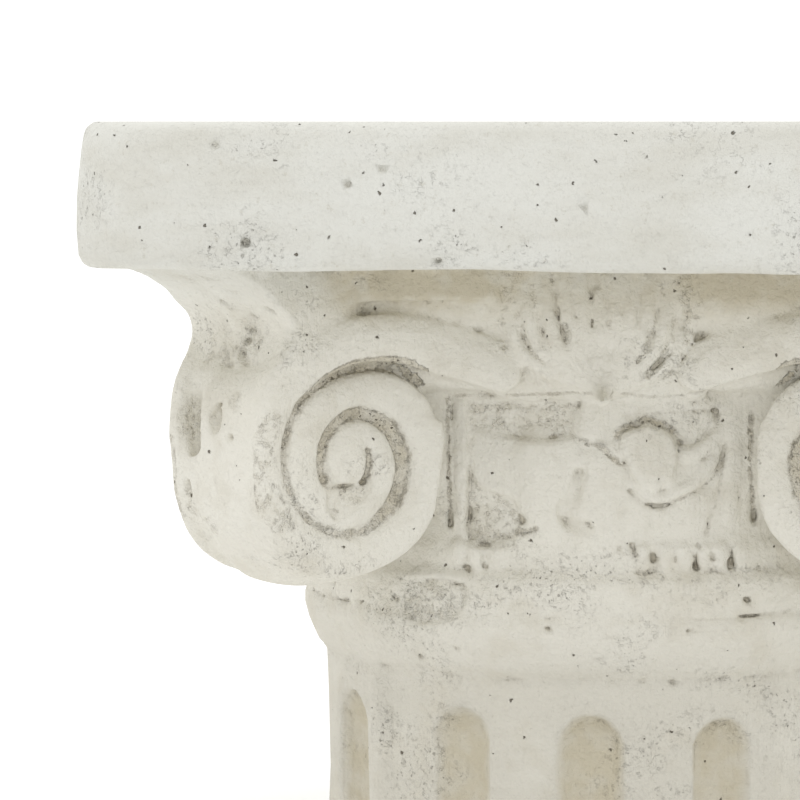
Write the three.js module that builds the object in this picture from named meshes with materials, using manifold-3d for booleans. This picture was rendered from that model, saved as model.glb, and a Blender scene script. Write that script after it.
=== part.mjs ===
// Cast-stone Ionic capital with a slab top, four diagonal volutes, a ring and the head of a fluted shaft.
// Millimetres, +Z up. The origin is the centre of the flat underside, and the front looks along -Y.

import * as THREE from 'three';
import { mergeVertices } from 'three/addons/utils/BufferGeometryUtils.js';
import Module from 'manifold-3d';

const wasm = await Module();
wasm.setup();

// ---- driving dimensions -------------------------------------------------------------------------------------

const HEIGHT = 262;
const SIDES = 4;
const EIGHTH_TURN = Math.PI / 4;
const QUARTER_TURN = Math.PI / 2;
const ROUND_STEPS = 40;

// Square slab top
const SLAB_HALF = 180;
const SLAB_THICK = 50;
const SLAB_CORNER = 50;
const SLAB_SOFT_HEIGHT = 9;
const SLAB_SOFT_INSET = 3.5;

// Moulding under the slab: each tier runs from its own reach at the top to the next one's
const ABACUS_HORN_HALF = 28;
const ABACUS_TIERS = [
  { drop: 50, reach: 203, middle: 119 },
  { drop: 57, reach: 187, middle: 117 },
  { drop: 62, reach: 183, middle: 115 },
  { drop: 68, reach: 175, middle: 111 },
  { drop: 76, reach: 173, middle: 106 },
  { drop: 98, reach: 150, middle: 101 },
];
const ABACUS_SIDE_STEPS = 10;

// Diagonal volutes: distances are from the capital's axis, along the diagonal
const VOLUTE_CENTRE = 149;
const VOLUTE_DROP = 118;
const VOLUTE_TOP = 46;
const VOLUTE_OUTER = 38.5;
const VOLUTE_BOTTOM = 40.5;
const VOLUTE_INNER = 34;
const VOLUTE_STEPS = 26;
const VOLUTE_ROOT = 92;
const VOLUTE_ROOT_INSET = 10;
const VOLUTE_ROOT_RISE = 16;
const VOLUTE_SPREAD = 60;
const OVERRUN = 2;
const VOLUTE_HALF_WIDTHS = [
  { along: 80, half: 47 },
  { along: 112, half: 38.5 },
  { along: 130, half: 32 },
  { along: 150, half: 27.5 },
  { along: 172, half: 25.5 },
  { along: 192, half: 24.5 },
];
const SPIRAL_TURNS = 2.2;
const SPIRAL_STEPS = 14;
const SPIRAL_START = 33;
const SPIRAL_END = 5;
const SPIRAL_START_ANGLE = 0.85 * Math.PI;
const GROOVE_WIDTH = 5;
const GROOVE_THINNING = 0.35;
const GROOVE_DEPTH = 3.5;

// Band that leaves each volute and sweeps in under the moulding
const BAND_HORN_REACH = 173;
const BAND_MIDDLE_REACH = 114;
const BAND_BACK = 85;
const BAND_FRONT = 160;

// Worn flower under the middle of each side
const FLOWER_REACH = 116;
const FLOWER_FOOT_DROP = 95;
const FLOWER_STRANDS = 5;
const STRAND_LEAN = 0.32;
const STRAND_HALF = 4.2;
const STRAND_HALF_LENGTH = 19;
const STRAND_BACK = 94;
const STRAND_DEPTH = 30;

// Round neck with its relief
const NECK_TOP_DROP = 92;
const NECK_RADIUS = 105;
const RELIEF_PROUD = 3.5;
const RELIEF_BACK = 87;
const RELIEF_FRONT = 117;
const EGG_OFFSET = 17;
const EGG_DROP = 118;
const EGG_HALF_WIDTH = 13;
const EGG_HALF_HEIGHT = 17;
const STRIP_OFFSET = 47;
const STRIP_HALF = 4;
const STRIP_TAPER = 0.6;
const TOP_LINE_HEIGHT = 3;

// Ring and shaft
const BEAD_DROP = 152;
const BEAD_RADIUS = 106;
const RING_TOP_DROP = 159;
const RING_MIDDLE_DROP = 174;
const RING_BOTTOM_DROP = 195;
const RING_RADIUS = 110.7;
const SHAFT_TOP_RADIUS = 102;
const SHAFT_CUT_RADIUS = 101;
const FLUTES = 12;
const FLUTE_TOP_DROP = 210;
const FLUTE_RADIUS = 14;
const FLUTE_CENTRE_RADIUS = 109.5;

// ---- helpers ------------------------------------------------------------------------------------------------

const up = (drop) => HEIGHT - drop;

function toSolid(geometry) {
  const bare = geometry.clone();
  bare.deleteAttribute('normal');
  bare.deleteAttribute('uv');
  const merged = mergeVertices(bare, 1e-4);
  const mesh = new wasm.Mesh({
    numProp: 3,
    vertProperties: new Float32Array(merged.attributes.position.array),
    triVerts: new Uint32Array(merged.index.array),
  });
  return new wasm.Manifold(mesh);
}

function toGeometry(solid) {
  const mesh = solid.getMesh();
  const geometry = new THREE.BufferGeometry();
  geometry.setAttribute('position', new THREE.BufferAttribute(new Float32Array(mesh.vertProperties), 3));
  geometry.setIndex(new THREE.BufferAttribute(new Uint32Array(mesh.triVerts), 1));
  return geometry;
}

// Upright prism of a plan outline between two heights
function prism(shape, low, high, curveSegments = 8) {
  const geometry = new THREE.ExtrudeGeometry(shape, { depth: high - low, bevelEnabled: false, curveSegments });
  geometry.translate(0, 0, low);
  return geometry;
}

// Stand an outline drawn as (across, height) on a vertical plane through the axis.
// The plane faces the direction "facing", and the outline's thickness runs from near to far along it.
function standing(shape, facing, near, far, curveSegments = 8) {
  const geometry = new THREE.ExtrudeGeometry(shape, { depth: far - near, bevelEnabled: false, curveSegments });
  geometry.translate(0, 0, near);
  const outward = new THREE.Vector3(Math.cos(facing), Math.sin(facing), 0);
  const upward = new THREE.Vector3(0, 0, 1);
  const across = new THREE.Vector3().crossVectors(upward, outward);
  geometry.applyMatrix4(new THREE.Matrix4().makeBasis(across, upward, outward));
  return geometry;
}

function turned(geometry, angle) {
  return geometry.clone().rotateZ(angle);
}

function joined(solids) {
  return solids.reduce((sum, solid) => sum.add(solid));
}

// ---- slab and moulding --------------------------------------------------------------------------------------

function roundedSquare(half, corner) {
  const shape = new THREE.Shape();
  const inner = half - corner;
  shape.absarc(inner, inner, corner, 0, QUARTER_TURN);
  shape.absarc(-inner, inner, corner, QUARTER_TURN, 2 * QUARTER_TURN);
  shape.absarc(-inner, -inner, corner, 2 * QUARTER_TURN, 3 * QUARTER_TURN);
  shape.absarc(inner, -inner, corner, 3 * QUARTER_TURN, 4 * QUARTER_TURN);
  return shape;
}

function slab() {
  const shape = roundedSquare(SLAB_HALF - SLAB_SOFT_INSET, SLAB_CORNER - SLAB_SOFT_INSET);
  const geometry = new THREE.ExtrudeGeometry(shape, {
    depth: SLAB_THICK - 2 * SLAB_SOFT_HEIGHT,
    bevelThickness: SLAB_SOFT_HEIGHT,
    bevelSize: SLAB_SOFT_INSET,
    bevelSegments: 3,
    curveSegments: 6,
  });
  geometry.translate(0, 0, up(SLAB_THICK) + SLAB_SOFT_HEIGHT);
  return toSolid(geometry);
}

// Points round a plan with four blunt horns on the diagonals and hollow sides between them
function hornedOutline(reach, middle) {
  const points = [];
  for (let side = 0; side < SIDES; side += 1) {
    const turn = side * QUARTER_TURN;
    const from = new THREE.Vector2(reach, ABACUS_HORN_HALF).rotateAround(new THREE.Vector2(), turn - EIGHTH_TURN);
    const to = new THREE.Vector2(reach, -ABACUS_HORN_HALF).rotateAround(new THREE.Vector2(), turn + EIGHTH_TURN);
    const hollow = new THREE.Vector2(middle, 0).rotateAround(new THREE.Vector2(), turn);
    const pull = hollow.clone().multiplyScalar(2).sub(from.clone().add(to).multiplyScalar(0.5));
    points.push(...new THREE.QuadraticBezierCurve(from, pull, to).getPoints(ABACUS_SIDE_STEPS));
  }
  return points;
}

// Solid between two outlines with the same number of points, one above the other
function tier(lowOutline, lowHeight, highOutline, highHeight) {
  const geometry = prism(new THREE.Shape(lowOutline), lowHeight, highHeight);
  const position = geometry.attributes.position;
  const corner = new THREE.Vector3();
  for (let i = 0; i < position.count; i += 1) {
    corner.fromBufferAttribute(position, i);
    if (corner.z > (lowHeight + highHeight) / 2) {
      const match = lowOutline.findIndex((point) => Math.hypot(point.x - corner.x, point.y - corner.y) < 1e-3);
      position.setXY(i, highOutline[match].x, highOutline[match].y);
    }
  }
  return toSolid(geometry);
}

function moulding() {
  const tiers = [];
  for (let i = 0; i + 1 < ABACUS_TIERS.length; i += 1) {
    const high = ABACUS_TIERS[i];
    const low = ABACUS_TIERS[i + 1];
    const lowOutline = hornedOutline(low.reach, low.middle);
    const highOutline = hornedOutline(high.reach, high.middle);
    tiers.push(tier(lowOutline, up(low.drop), highOutline, up(high.drop)));
  }
  return joined(tiers);
}

// ---- volutes ------------------------------------------------------------------------------------------------

// Rim radius of a volute by direction: 0 points out along the diagonal, a quarter turn points up
function rimRadius(angle) {
  const rising = Math.max(0, Math.sin(angle));
  const falling = Math.max(0, -Math.sin(angle));
  const level = 1 - rising - falling;
  const side = Math.cos(angle) > 0 ? VOLUTE_OUTER : VOLUTE_INNER;
  return rising * VOLUTE_TOP + falling * VOLUTE_BOTTOM + level * side;
}

function voluteOutline() {
  const points = [];
  for (let i = 0; i < VOLUTE_STEPS; i += 1) {
    const angle = (2 * Math.PI * i) / VOLUTE_STEPS;
    const radius = rimRadius(angle);
    points.push(new THREE.Vector2(
      VOLUTE_CENTRE + radius * Math.cos(angle),
      up(VOLUTE_DROP) + radius * Math.sin(angle),
    ));
  }
  return new THREE.Shape(points);
}

// Body behind the scroll that ties it back to the neck
function voluteRoot() {
  const low = up(VOLUTE_DROP + VOLUTE_BOTTOM - VOLUTE_ROOT_RISE);
  const high = up(VOLUTE_DROP - VOLUTE_TOP);
  const shape = new THREE.Shape();
  shape.moveTo(VOLUTE_ROOT, low);
  shape.lineTo(VOLUTE_CENTRE, low);
  shape.lineTo(VOLUTE_CENTRE, high);
  shape.lineTo(VOLUTE_ROOT, high);
  return shape;
}

// Plan of a volute, drawn out along +X, with flared sides that are brought in by "inset"
function volutePlan(inset) {
  const right = VOLUTE_HALF_WIDTHS.map((at) => new THREE.Vector2(at.along, -(at.half - inset)));
  const left = VOLUTE_HALF_WIDTHS.map((at) => new THREE.Vector2(at.along, at.half - inset)).reverse();
  return new THREE.Shape([...right, ...left]);
}

// Spiral groove as a ribbon, wound from the top of the scroll in to its eye
function grooveRibbon() {
  const outer = [];
  const inner = [];
  const count = Math.round(SPIRAL_TURNS * SPIRAL_STEPS);
  for (let i = 0; i <= count; i += 1) {
    const share = i / count;
    const angle = SPIRAL_START_ANGLE - 2 * Math.PI * SPIRAL_TURNS * share;
    const radius = SPIRAL_START * (SPIRAL_END / SPIRAL_START) ** share;
    const half = (GROOVE_WIDTH / 2) * (1 - GROOVE_THINNING * share);
    const point = (r) => new THREE.Vector2(
      VOLUTE_CENTRE + r * Math.cos(angle),
      up(VOLUTE_DROP) + r * Math.sin(angle),
    );
    outer.push(point(radius + half));
    inner.push(point(radius - half));
  }
  return new THREE.Shape([...outer, ...inner.reverse()]);
}

// Volute built along +X; its outlines lie in the upright plane through the axis and face sideways
function volute() {
  const across = (shape) => toSolid(standing(shape, -QUARTER_TURN, -VOLUTE_SPREAD, VOLUTE_SPREAD));
  const low = up(VOLUTE_DROP + VOLUTE_BOTTOM + OVERRUN);
  const high = up(SLAB_THICK - OVERRUN);
  const sides = toSolid(prism(volutePlan(0), low, high));
  const rootSides = toSolid(prism(volutePlan(VOLUTE_ROOT_INSET), low, high));
  const floor = toSolid(prism(volutePlan(GROOVE_DEPTH), low - OVERRUN, high + OVERRUN));
  const scroll = across(voluteOutline()).intersect(sides);
  const body = scroll.add(across(voluteRoot()).intersect(rootSides));
  const groove = across(grooveRibbon()).subtract(floor);
  return body.subtract(groove);
}

function volutes() {
  const one = volute();
  const all = [];
  for (let side = 0; side < SIDES; side += 1) {
    all.push(one.rotate([0, 0, THREE.MathUtils.radToDeg(EIGHTH_TURN + QUARTER_TURN * side)]));
  }
  return joined(all);
}

// ---- neck and relief ----------------------------------------------------------------------------------------

// Round body from the underside of the moulding down to the flat cut through the shaft
function turnedBody(extra) {
  const profile = [
    [0, 0],
    [SHAFT_CUT_RADIUS, 0],
    [SHAFT_TOP_RADIUS, up(RING_BOTTOM_DROP + 4)],
    [SHAFT_TOP_RADIUS + 2, up(RING_BOTTOM_DROP - 3)],
    [RING_RADIUS - 2.5, up(RING_BOTTOM_DROP - 9)],
    [RING_RADIUS, up(RING_MIDDLE_DROP + 4)],
    [RING_RADIUS, up(RING_MIDDLE_DROP + 1)],
    [RING_RADIUS - 2, up(RING_MIDDLE_DROP - 1)],
    [RING_RADIUS, up(RING_TOP_DROP + 11)],
    [RING_RADIUS - 1, up(RING_TOP_DROP + 3)],
    [RING_RADIUS - 6, up(RING_TOP_DROP)],
    [BEAD_RADIUS - 2, up(BEAD_DROP + 4)],
    [BEAD_RADIUS + extra, up(BEAD_DROP)],
    [NECK_RADIUS + 2 + extra, up(BEAD_DROP - 6)],
    [NECK_RADIUS + extra, up(NECK_TOP_DROP + 12)],
    [NECK_RADIUS - 1 + extra, up(NECK_TOP_DROP)],
    [0, up(NECK_TOP_DROP)],
  ];
  return toSolid(new THREE.LatheGeometry(profile.map(([r, z]) => new THREE.Vector2(r, z)), ROUND_STEPS)
    .rotateX(QUARTER_TURN));
}

// Drape, egg and upright strips of one side, drawn as (across, height) on the front
function reliefOutlines() {
  const low = up(BEAD_DROP - 8);
  const high = up(NECK_TOP_DROP + 3);

  const topLine = new THREE.Shape();
  topLine.moveTo(-STRIP_OFFSET, high - TOP_LINE_HEIGHT);
  topLine.lineTo(STRIP_OFFSET, high - TOP_LINE_HEIGHT);
  topLine.lineTo(STRIP_OFFSET, high);
  topLine.lineTo(-STRIP_OFFSET, high);

  const strips = [-1, 1].map((side) => {
    const strip = new THREE.Shape();
    strip.moveTo(side * STRIP_OFFSET - STRIP_HALF, low);
    strip.lineTo(side * STRIP_OFFSET + STRIP_HALF, low);
    strip.lineTo(side * STRIP_OFFSET + STRIP_HALF * STRIP_TAPER, high);
    strip.lineTo(side * STRIP_OFFSET - STRIP_HALF * STRIP_TAPER, high);
    return strip;
  });

  const egg = new THREE.Shape();
  egg.absellipse(EGG_OFFSET, up(EGG_DROP), EGG_HALF_WIDTH, EGG_HALF_HEIGHT, 0, 2 * Math.PI);

  const dart = new THREE.Shape();
  dart.moveTo(-34, high - 12);
  dart.quadraticCurveTo(-16, high - 16, 2, high - 8);
  dart.quadraticCurveTo(-8, high - 34, -14, low + 4);
  dart.quadraticCurveTo(-26, high - 34, -34, high - 12);

  return [topLine, ...strips, egg, dart];
}

function neckRelief() {
  const skin = turnedBody(RELIEF_PROUD);
  const pieces = [];
  for (let side = 0; side < SIDES; side += 1) {
    const facing = side * QUARTER_TURN - QUARTER_TURN;
    for (const outline of reliefOutlines()) {
      pieces.push(toSolid(standing(outline, facing, RELIEF_BACK, RELIEF_FRONT)).intersect(skin));
    }
  }
  return joined(pieces);
}

// ---- bands and flowers --------------------------------------------------------------------------------------

// One band in the front's plane: it rises out of the scroll, then sweeps down to a blunt tip near the middle
function bandOutline(mirror) {
  const shape = new THREE.Shape();
  shape.moveTo(mirror * -98, up(77));
  shape.quadraticCurveTo(mirror * -70, up(66), mirror * -44, up(72));
  shape.quadraticCurveTo(mirror * -30, up(77), mirror * -27, up(87));
  shape.quadraticCurveTo(mirror * -29, up(93), mirror * -36, up(92));
  shape.quadraticCurveTo(mirror * -62, up(82), mirror * -98, up(86));
  return shape;
}

function bands() {
  const plan = new THREE.Shape(hornedOutline(BAND_HORN_REACH, BAND_MIDDLE_REACH));
  const limit = toSolid(prism(plan, up(100), up(60)));
  const pieces = [];
  for (let side = 0; side < SIDES; side += 1) {
    const facing = side * QUARTER_TURN - QUARTER_TURN;
    for (const mirror of [-1, 1]) {
      pieces.push(toSolid(standing(bandOutline(mirror), facing, BAND_BACK, BAND_FRONT, 5)).intersect(limit));
    }
  }
  return joined(pieces);
}

// Worn flower: a fan of strands under the middle of the slab's front
function flower() {
  const strands = [];
  for (let i = 0; i < FLOWER_STRANDS; i += 1) {
    const lean = (i - (FLOWER_STRANDS - 1) / 2) * STRAND_LEAN;
    const outline = new THREE.Shape();
    outline.absellipse(0, 0, STRAND_HALF, STRAND_HALF_LENGTH, 0, 2 * Math.PI);
    const strand = new THREE.ExtrudeGeometry(outline, { depth: STRAND_DEPTH, bevelEnabled: false, curveSegments: 4 });
    strand.translate(0, STRAND_HALF_LENGTH + 1, STRAND_BACK);
    strand.rotateZ(-lean);
    strand.translate(0, up(FLOWER_FOOT_DROP), 0);
    strand.rotateX(QUARTER_TURN);
    strands.push(strand);
  }
  return strands;
}

function flowers() {
  const plan = new THREE.Shape(hornedOutline(ABACUS_TIERS[0].reach, FLOWER_REACH));
  const limit = toSolid(prism(plan, up(100), up(SLAB_THICK)));
  const solids = [];
  for (let side = 0; side < SIDES; side += 1) {
    for (const strand of flower()) {
      solids.push(toSolid(turned(strand, side * QUARTER_TURN)).intersect(limit));
    }
  }
  return joined(solids);
}

// ---- flutes -------------------------------------------------------------------------------------------------

function flutes() {
  const length = 2 * up(FLUTE_TOP_DROP);
  const cutter = new THREE.CapsuleGeometry(FLUTE_RADIUS, length - 2 * FLUTE_RADIUS, 3, 14);
  cutter.rotateX(QUARTER_TURN);
  cutter.translate(FLUTE_CENTRE_RADIUS, 0, 0);
  const cuts = [];
  for (let i = 0; i < FLUTES; i += 1) {
    cuts.push(toSolid(turned(cutter, (2 * Math.PI * i) / FLUTES)));
  }
  return joined(cuts);
}

// ---- the capital --------------------------------------------------------------------------------------------

const castStone = new THREE.MeshStandardMaterial({ color: 0xd9d6ca, roughness: 0.9, metalness: 0 });

const solid = joined([slab(), moulding(), turnedBody(0), volutes(), neckRelief(), bands(), flowers()])
  .subtract(flutes());

const capital = new THREE.Mesh(toGeometry(solid), castStone);
capital.name = 'ionic_capital';

const group = new THREE.Group();
group.add(capital);

export default group;
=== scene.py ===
"""Looks of the cast-stone Ionic capital: one worn casting, its finish, a pale floor and soft studio light.

The casting is modelled as a distance field on a grid of small cells and meshed from it, so that every
moulding, scroll and strand runs softly into the next, as it does in a cast that was brushed and rubbed down.
Lengths inside the model functions are millimetres. "drop" is the depth below the slab's top, "across" runs to
the right along a side, "outward" is the distance from the axis square to that side, and a scroll is measured
"along" its diagonal and "aside" from it.
"""
import math

import bpy
import numpy as np
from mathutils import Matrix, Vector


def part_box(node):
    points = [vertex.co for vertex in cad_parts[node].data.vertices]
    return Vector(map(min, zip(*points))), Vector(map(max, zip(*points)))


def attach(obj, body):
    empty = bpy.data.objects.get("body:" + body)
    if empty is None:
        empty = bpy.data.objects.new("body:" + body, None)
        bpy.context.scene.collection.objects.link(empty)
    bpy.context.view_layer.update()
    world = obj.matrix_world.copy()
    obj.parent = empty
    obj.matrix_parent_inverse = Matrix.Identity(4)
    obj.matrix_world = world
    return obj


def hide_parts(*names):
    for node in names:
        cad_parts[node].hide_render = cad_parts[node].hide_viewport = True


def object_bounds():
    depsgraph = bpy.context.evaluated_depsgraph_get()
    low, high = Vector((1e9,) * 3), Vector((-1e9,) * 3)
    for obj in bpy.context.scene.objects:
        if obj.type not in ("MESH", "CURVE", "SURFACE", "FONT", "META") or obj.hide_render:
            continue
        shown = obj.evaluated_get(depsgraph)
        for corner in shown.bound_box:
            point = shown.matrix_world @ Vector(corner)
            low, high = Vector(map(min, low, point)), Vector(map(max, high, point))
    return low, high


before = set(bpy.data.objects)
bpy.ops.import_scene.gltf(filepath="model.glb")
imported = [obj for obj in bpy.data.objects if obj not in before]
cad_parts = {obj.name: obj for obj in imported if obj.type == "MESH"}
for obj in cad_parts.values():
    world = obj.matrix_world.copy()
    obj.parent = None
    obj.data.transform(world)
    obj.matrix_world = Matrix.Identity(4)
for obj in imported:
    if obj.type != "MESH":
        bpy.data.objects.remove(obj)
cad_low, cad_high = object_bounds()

import openvdb
from mathutils import Vector

MM = 0.001
NODE = "ionic_capital"
SEED = 20

# ---- sizes: the overall ones come from the frame's box, the rest were fitted to the photo ----

LOW, HIGH = (np.array(corner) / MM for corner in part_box(NODE))
HEIGHT = float(HIGH[2] - LOW[2])
SLAB_HALF = float(HIGH[0]) - 0.4
# the field is cut off this far inside the sides and top of the box, and above its foot
BOX_MARGIN = 0.15
FOOT_MARGIN = 0.1

# side of a grid cell, empty cells kept round the casting, and the largest distance that the field holds
CELL = 1.05
PAD = 3
FIELD_LIMIT = 14.0
TRIANGLES = 196000

SLAB_THICK = 50.0
SLAB_CORNER = 50.0

HORN_HALF = 28.0
EYE_ALONG = 149.0
EYE_DROP = 118.0
SHAFT_RADIUS = 102.0
FLUTES = 12
FLUTE_TOP = 209.0
FLUTE_HALF = 11.6
# how far each flute stands off its even place, in degrees, from the front round to the right
FLUTE_SHIFTS = (-1.5, -4.2, -1.0, 1.2, -0.6, 0.9, -1.4, 0.8, 1.6, -1.1, -2.0, 1.4)


# ---- field helpers ----

def ramp(value, start, end):
    """Smooth step from 0 at start to 1 at end."""
    share = np.clip((value - start) / (end - start), 0.0, 1.0)
    return share * share * (3.0 - 2.0 * share)


def curve(value, pairs):
    """Smooth curve through (position, height) pairs: straight runs, lightly rounded by a running mean."""
    spots = np.array([pair[0] for pair in pairs], dtype=np.float32)
    heights = np.array([pair[1] for pair in pairs], dtype=np.float32)
    total = 0.0
    for shift in (-1.2, -0.4, 0.4, 1.2):
        total = total + np.interp(value + shift, spots, heights)
    return (total / 4.0).astype(np.float32)


def soft_union(first, second, blend):
    overlap = np.clip(blend - np.abs(first - second), 0.0, None)
    return np.minimum(first, second) - overlap * overlap / (4.0 * blend)


def soft_cut(first, second, blend):
    """Intersection of two fields with a rounded arris."""
    overlap = np.clip(blend - np.abs(first - second), 0.0, None)
    return np.maximum(first, second) + overlap * overlap / (4.0 * blend)


def bump_profile(distance, half):
    """Height 1 on a line and 0 from "half" away, rounded like a worn ridge or a rubbed groove."""
    share = np.clip(1.0 - (distance / half) ** 2, 0.0, None)
    return share * share * (3.0 - 2.0 * share)


def line_distance(first, second, points):
    """Distance to a chain of straight runs, the share of the runs passed by then, and the side it is on."""
    best = np.full(np.broadcast(first, second).shape, 1e6, dtype=np.float32)
    share = np.zeros_like(best)
    side = np.zeros_like(best)
    runs = len(points) - 1
    for i, ((x0, y0), (x1, y1)) in enumerate(zip(points, points[1:])):
        length = math.dist((x0, y0), (x1, y1))
        step = ((first - x0) * (x1 - x0) + (second - y0) * (y1 - y0)) / length ** 2
        step = np.clip(step, 0.0, 1.0)
        gap = np.hypot(first - x0 - step * (x1 - x0), second - y0 - step * (y1 - y0))
        cross = (x1 - x0) * (second - y0) - (y1 - y0) * (first - x0)
        nearer = gap < best
        best = np.where(nearer, gap, best)
        share = np.where(nearer, (i + step) / runs, share)
        side = np.where(nearer, np.sign(cross), side)
    return best, share, side


def smooth_path(points, count=28):
    """Rounded path through a few given points (Catmull-Rom)."""
    before = tuple(2 * np.array(points[0]) - points[1])
    after = tuple(2 * np.array(points[-1]) - points[-2])
    ends = [before, *points, after]
    path = []
    runs = len(points) - 1
    for i in range(runs):
        p0, p1, p2, p3 = (np.array(p, dtype=float) for p in ends[i:i + 4])
        steps = max(2, count // runs)
        for j in range(steps):
            t = j / steps
            path.append(tuple(0.5 * (2 * p1 + (p2 - p0) * t + (2 * p0 - 5 * p1 + 4 * p2 - p3) * t ** 2
                                     + (3 * p1 - p0 - 3 * p2 + p3) * t ** 3)))
    path.append(tuple(points[-1]))
    return path


# ---- relief, drawn on small flat maps and looked up by the field ----

# how far from a worn edge its dirt and painted shade can reach
SEAM_REACH = 3.6
# a stroke this deep and narrow, and a sunk area with an edge this steep, gathers dirt and painted shade
DIRT_AND_SHADE_DEPTH = -0.6
DIRT_AND_SHADE_HALF = 2.5
STEEP_EDGE = 1.1


def seam_fade(signed):
    """1 at a worn edge, dying away to 0 at the end of its reach."""
    return ramp(np.abs(signed), SEAM_REACH, 0.3 * SEAM_REACH)


class Relief:
    """A height map over (first, second) coordinates that strokes are added to.

    It also keeps the signed distance to the nearest worn edge, above 0 on the edge's low side where dirt and
    painted shade lie, how strongly that edge's painted shade line shows, and how much tan stain and painted
    shade the stone gets.
    """

    def __init__(self, first_range, second_range, step=0.5):
        self.origin = (first_range[0], second_range[0])
        self.step = step
        self.first = np.arange(first_range[0], first_range[1] + step, step, dtype=np.float32)[:, None]
        self.second = np.arange(second_range[0], second_range[1] + step, step, dtype=np.float32)[None, :]
        self.height = np.zeros((self.first.size, self.second.size), dtype=np.float32)
        self.seam = np.full_like(self.height, -SEAM_REACH)
        self.clear = np.zeros_like(self.height)
        self.stain_and_shade = np.zeros_like(self.height)

    def note(self, signed, clear, floored=True):
        """Mark an edge: "signed" is the distance into its low side, tinted with stain and painted shade all
        over if it has a floor.
        """
        nearer = np.abs(signed) < np.abs(self.seam)
        fade = seam_fade(signed)
        self.seam = np.where(nearer, signed, self.seam)
        self.clear = np.where(nearer, clear * fade, self.clear)
        self.stain_and_shade = np.maximum(self.stain_and_shade, clear * ramp(signed, -0.5, 1.3) * (1.0 if floored else fade))

    def stroke(self, points, half, height, taper=(1.0, 1.0)):
        """Ridge (or groove, with a height below 0) along a rounded path."""
        gap, share, _ = line_distance(self.first, self.second, smooth_path(points))
        width = np.maximum(half * (taper[0] + (taper[1] - taper[0]) * share), 0.3)
        self.height += height * bump_profile(gap, width)
        if height < DIRT_AND_SHADE_DEPTH and half < DIRT_AND_SHADE_HALF:
            self.note(0.5 * width - gap, min(0.8, -0.4 * height))

    def crease(self, points, half, height, side=1.0):
        """Step that is sharp on the path and dies away to one side of it."""
        gap, share, turn = line_distance(self.first, self.second, smooth_path(points))
        ends = np.sin(math.pi * np.clip(share, 0.02, 0.98)) ** 0.4
        inward = turn * side * gap
        fade = np.exp(-gap / half) * ramp(inward, -0.5, 0.5)
        self.height += height * fade * ends
        self.note(inward, 0.8 * ends, floored=False)

    def area(self, points, height, edge=1.5):
        """Raised (or sunk) area inside a rounded closed outline, with a sloping edge."""
        path = smooth_path(list(points) + [points[0]], 40)
        gap, _, _ = line_distance(self.first, self.second, path)
        inside = np.zeros(self.height.shape, dtype=bool)
        for (x0, y0), (x1, y1) in zip(path, path[1:]):
            crosses = (y0 > self.second) != (y1 > self.second)
            at = x0 + (self.second - y0) * (x1 - x0) / ((y1 - y0) or 1e-9)
            inside ^= crosses & (self.first < at)
        signed = np.where(inside, gap, -gap)
        self.height += height * ramp(signed, -edge, edge)
        if edge < STEEP_EDGE and height < 0:
            self.note(signed, min(0.8, -0.13 * height))
        return signed

    def at(self, first, second, layer="height"):
        """Height (or another layer) at the given coordinates, straight between the map's points."""
        i = np.clip((first - self.origin[0]) / self.step, 0, self.first.size - 1.001)
        j = np.clip((second - self.origin[1]) / self.step, 0, self.second.size - 1.001)
        i0 = i.astype(np.int32)
        j0 = j.astype(np.int32)
        fi = i - i0
        fj = j - j0
        values = getattr(self, layer)
        low = values[i0, j0] * (1 - fj) + values[i0, j0 + 1] * fj
        high = values[i0 + 1, j0] * (1 - fj) + values[i0 + 1, j0 + 1] * fj
        return low * (1 - fi) + high * fi


# The scroll's groove, from the notch beside the neck over the top, outward, down and round again to the eye:
# its distance from the eye, half its width and its depth at every 48 degrees
GROOVE = ((40.5, 3.2, 3.2), (32.8, 2.9, 3.2), (28.8, 1.7, 2), (26.2, 1.3, 1.5), (24.8, 1.4, 1.6),
          (24.4, 2.2, 1.8), (21.9, 3, 2.6), (20, 3.1, 2.9), (17.9, 2.5, 2.8), (14, 2.1, 2.6),
          (11.4, 2, 2.4), (11, 1.8, 2.2))
GROOVE_START = math.radians(135)
GROOVE_STEP = math.radians(48)


def groove_path():
    """Spiral path as (along, drop) from the eye."""
    turns = smooth_path([(i, stop[0]) for i, stop in enumerate(GROOVE)], 110)
    spiral = []
    for place, radius in turns:
        angle = GROOVE_START - place * GROOVE_STEP
        spiral.append((radius * math.cos(angle), -radius * math.sin(angle)))
    return spiral


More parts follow.
